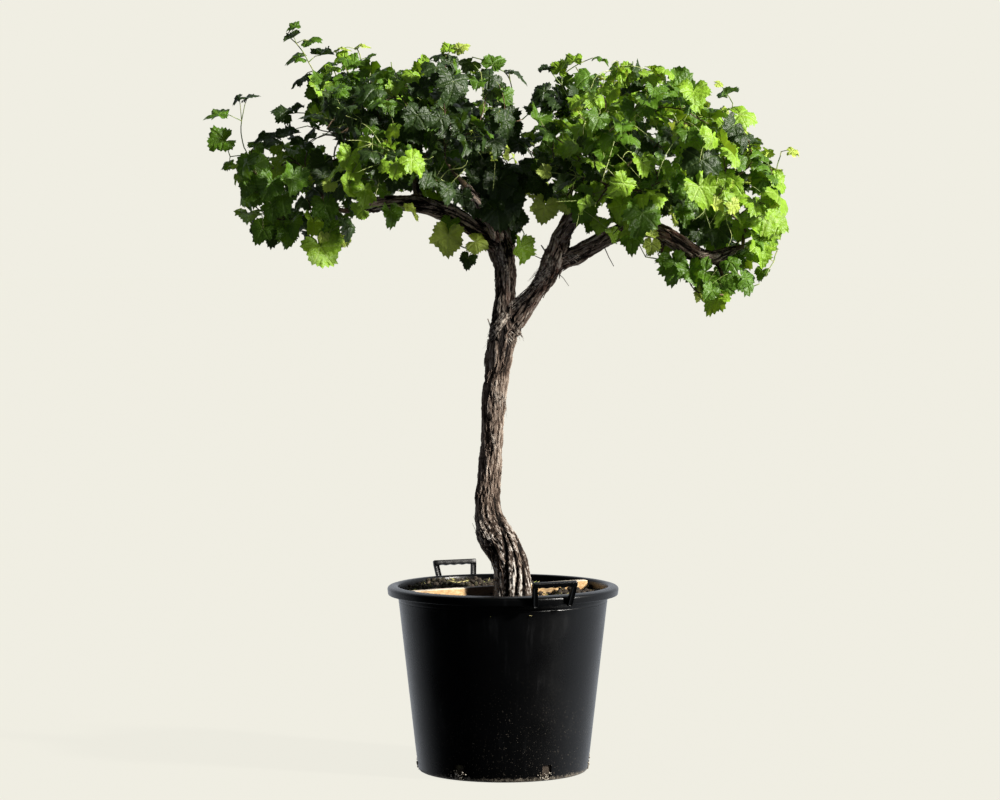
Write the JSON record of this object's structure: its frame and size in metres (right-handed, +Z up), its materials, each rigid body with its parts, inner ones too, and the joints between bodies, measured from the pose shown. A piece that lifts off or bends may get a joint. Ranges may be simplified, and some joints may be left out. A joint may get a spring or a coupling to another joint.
{
  "type": "grapevine trained as a small tree in a nursery pot",
  "caption": "Old grapevine grown as a small standard tree, with a gnarled trunk, two spreading arms and a broad leafy top, in a round black nursery pot with two handles.",
  "frame": {"origin": "middle of the flat underside of the pot", "axes": "+Z up, +X along the crown's long side, -Y towards the side that the vine is looked at from"},
  "size_m": [1.4373, 0.7939, 1.7651],
  "materials": {
    "pot_plastic": "black moulded polypropylene, satin, scuffed and dusty near the foot",
    "potting_soil": "dark crumbly compost with bark, roots and a little moss",
    "batten_wood": "sawn pine, yellow orange, matt",
    "vine_bark": "old vine bark that peels in long grey brown strips",
    "vine_leaf": "thin lobed vine leaves, fresh green above and paler below"
  },
  "bodies": {
    "root": {"pot": "pot_plastic", "handle_front": "pot_plastic", "handle_back": "pot_plastic", "root_ball": "potting_soil", "batten": "batten_wood", "trunk": "vine_bark", "left_stem": "vine_bark", "left_head": "vine_bark", "left_arm": "vine_bark", "left_arm_inner_spur": "vine_bark", "left_arm_outer_spur": "vine_bark", "left_arm_low_spur": "vine_bark", "left_front_arm": "vine_bark", "left_back_arm": "vine_bark", "right_stem": "vine_bark", "right_head": "vine_bark", "right_arm_inner": "vine_bark", "right_arm_outer": "vine_bark", "right_arm_inner_spur": "vine_bark", "right_arm_under_spur": "vine_bark", "right_arm_low_spur": "vine_bark", "right_front_arm": "vine_bark", "right_back_arm": "vine_bark", "foliage_far_left": "vine_leaf", "foliage_upper_left": "vine_leaf", "foliage_mid_left": "vine_leaf", "foliage_left_head": "vine_leaf", "foliage_left_front": "vine_leaf", "foliage_left_back": "vine_leaf", "foliage_left_low": "vine_leaf", "foliage_right_head": "vine_leaf", "foliage_mid_right": "vine_leaf", "foliage_far_right": "vine_leaf", "foliage_right_low": "vine_leaf", "foliage_right_under": "vine_leaf", "foliage_right_front": "vine_leaf", "foliage_right_back": "vine_leaf"}
  },
  "joints": []
}
